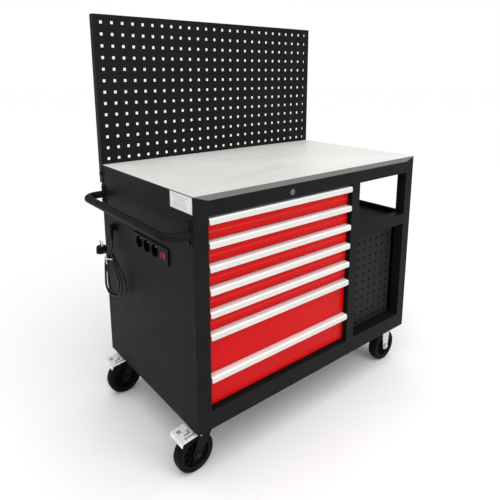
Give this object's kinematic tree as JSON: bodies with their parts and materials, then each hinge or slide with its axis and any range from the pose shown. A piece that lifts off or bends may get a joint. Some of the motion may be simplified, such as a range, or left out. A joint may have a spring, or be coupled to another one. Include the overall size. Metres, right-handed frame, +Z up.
{
  "type": "mobile workbench with drawers",
  "caption": "Sheet-steel bench on casters with red drawers, an open shelf bay, a steel worktop, a perforated back board, a push handle and a side power strip with its lead.",
  "frame": {"origin": "on the floor under the middle of the box round the bench, its mains lead and plug left out", "axes": "+Z up, -Y out of the front (the drawers' side), +X to the right as seen from the front"},
  "size_m": [1.0885, 0.604, 1.361],
  "materials": {
    "black_powder_coat": "fine textured black powder coat, low sheen",
    "red_enamel": "glossy red paint",
    "worktop_steel": "brushed stainless steel",
    "grip_aluminium": "satin anodised",
    "zinc": "bright zinc plate",
    "black_zinc": "blackened zinc plate",
    "white_zinc": "pale zinc plate, embossed",
    "chrome": "polished",
    "black_tyre": "matt solid rubber",
    "hub_plastic": "moulded nylon",
    "black_plastic": "moulded, satin",
    "red_plastic": "translucent red rocker",
    "black_cable": "round black mains cable",
    "core_board": "pressed board"
  },
  "bodies": {
    "cabinet": {"front_frame": "black_powder_coat", "left_side_panel": "black_powder_coat", "right_side_panel": "black_powder_coat", "back_panel": "black_powder_coat", "base_panel": "black_powder_coat", "divider_panel": "black_powder_coat", "bay_shelf": "black_powder_coat", "hook_panel": "black_powder_coat", "worktop_core": "core_board", "worktop_sheet": "worktop_steel", "back_board": "black_powder_coat", "runner_uprights": "black_powder_coat", "cabinet_runners": "zinc", "push_handle": "black_powder_coat", "power_strip": "black_plastic", "cable_gland": "black_plastic", "mains_lead": "black_cable", "lead_hank": "black_cable", "mains_plug": "black_plastic", "swivel_plates": "zinc", "fixed_forks": "zinc", "fixed_axles": "zinc", "fasteners": "black_zinc"},
    "drawer_1": {"drawer_1_tray": "black_powder_coat", "drawer_1_front": "red_enamel", "drawer_1_grip": "grip_aluminium"},
    "drawer_2": {"drawer_2_tray": "black_powder_coat", "drawer_2_front": "red_enamel", "drawer_2_grip": "grip_aluminium"},
    "drawer_3": {"drawer_3_tray": "black_powder_coat", "drawer_3_front": "red_enamel", "drawer_3_grip": "grip_aluminium"},
    "drawer_4": {"drawer_4_tray": "black_powder_coat", "drawer_4_front": "red_enamel", "drawer_4_grip": "grip_aluminium"},
    "drawer_5": {"drawer_5_tray": "black_powder_coat", "drawer_5_front": "red_enamel", "drawer_5_grip": "grip_aluminium"},
    "drawer_6": {"drawer_6_tray": "black_powder_coat", "drawer_6_front": "red_enamel", "drawer_6_grip": "grip_aluminium"},
    "drawer_7": {"drawer_7_tray": "black_powder_coat", "drawer_7_front": "red_enamel", "drawer_7_grip": "grip_aluminium"},
    "swivel_front": {"swivel_fork_front": "black_powder_coat", "swivel_axle_front": "black_zinc"},
    "pedal_front": {"brake_pedal_front": "white_zinc"},
    "swivel_rear": {"swivel_fork_rear": "black_powder_coat", "swivel_axle_rear": "black_zinc"},
    "pedal_rear": {"brake_pedal_rear": "white_zinc"},
    "wheel_left_front": {"tyre_left_front": "black_tyre", "hub_left_front": "hub_plastic"},
    "wheel_left_rear": {"tyre_left_rear": "black_tyre", "hub_left_rear": "hub_plastic"},
    "wheel_right_front": {"tyre_right_front": "black_tyre", "hub_right_front": "hub_plastic"},
    "wheel_right_rear": {"tyre_right_rear": "black_tyre", "hub_right_rear": "hub_plastic"},
    "switch": {"power_switch": "red_plastic"},
    "lock": {"lock_cylinder": "chrome"}
  },
  "joints": [
    {"name": "drawer_1_slide", "type": "slide", "parent": "cabinet", "child": "drawer_1", "axis": [0, -1, 0], "range_m": [0, 0.36]},
    {"name": "drawer_2_slide", "type": "slide", "parent": "cabinet", "child": "drawer_2", "axis": [0, -1, 0], "range_m": [0, 0.36]},
    {"name": "drawer_3_slide", "type": "slide", "parent": "cabinet", "child": "drawer_3", "axis": [0, -1, 0], "range_m": [0, 0.36]},
    {"name": "drawer_4_slide", "type": "slide", "parent": "cabinet", "child": "drawer_4", "axis": [0, -1, 0], "range_m": [0, 0.36]},
    {"name": "drawer_5_slide", "type": "slide", "parent": "cabinet", "child": "drawer_5", "axis": [0, -1, 0], "range_m": [0, 0.36]},
    {"name": "drawer_6_slide", "type": "slide", "parent": "cabinet", "child": "drawer_6", "axis": [0, -1, 0], "range_m": [0, 0.36]},
    {"name": "drawer_7_slide", "type": "slide", "parent": "cabinet", "child": "drawer_7", "axis": [0, -1, 0], "range_m": [0, 0.36]},
    {"name": "caster_front_swivel", "type": "hinge", "parent": "cabinet", "child": "swivel_front", "pos_m": [-0.403, -0.244, 0.115], "axis": [0, 0, 1], "continuous": true},
    {"name": "brake_front_press", "type": "hinge", "parent": "swivel_front", "child": "pedal_front", "pos_m": [-0.433, -0.244, 0.129], "axis": [0, -1, 0], "range_deg": [0, 8]},
    {"name": "wheel_left_front_spin", "type": "hinge", "parent": "swivel_front", "child": "wheel_left_front", "pos_m": [-0.445, -0.244, 0.0625], "axis": [0, 1, 0], "continuous": true},
    {"name": "wheel_right_front_spin", "type": "hinge", "parent": "cabinet", "child": "wheel_right_front", "pos_m": [0.481, -0.244, 0.0625], "axis": [0, 1, 0], "continuous": true},
    {"name": "caster_rear_swivel", "type": "hinge", "parent": "cabinet", "child": "swivel_rear", "pos_m": [-0.403, 0.236, 0.115], "axis": [0, 0, 1], "continuous": true},
    {"name": "brake_rear_press", "type": "hinge", "parent": "swivel_rear", "child": "pedal_rear", "pos_m": [-0.433, 0.236, 0.129], "axis": [0, -1, 0], "range_deg": [0, 8]},
    {"name": "wheel_left_rear_spin", "type": "hinge", "parent": "swivel_rear", "child": "wheel_left_rear", "pos_m": [-0.445, 0.236, 0.0625], "axis": [0, 1, 0], "continuous": true},
    {"name": "wheel_right_rear_spin", "type": "hinge", "parent": "cabinet", "child": "wheel_right_rear", "pos_m": [0.481, 0.236, 0.0625], "axis": [0, 1, 0], "continuous": true},
    {"name": "lock_turn", "type": "hinge", "parent": "cabinet", "child": "lock", "pos_m": [-0.106, -0.3, 0.819], "axis": [0, 1, 0], "range_deg": [0, 90]},
    {"name": "switch_rock", "type": "hinge", "parent": "cabinet", "child": "switch", "pos_m": [-0.4643, -0.144, 0.656], "axis": [0, 0, 1], "range_deg": [0, 12]}
  ]
}
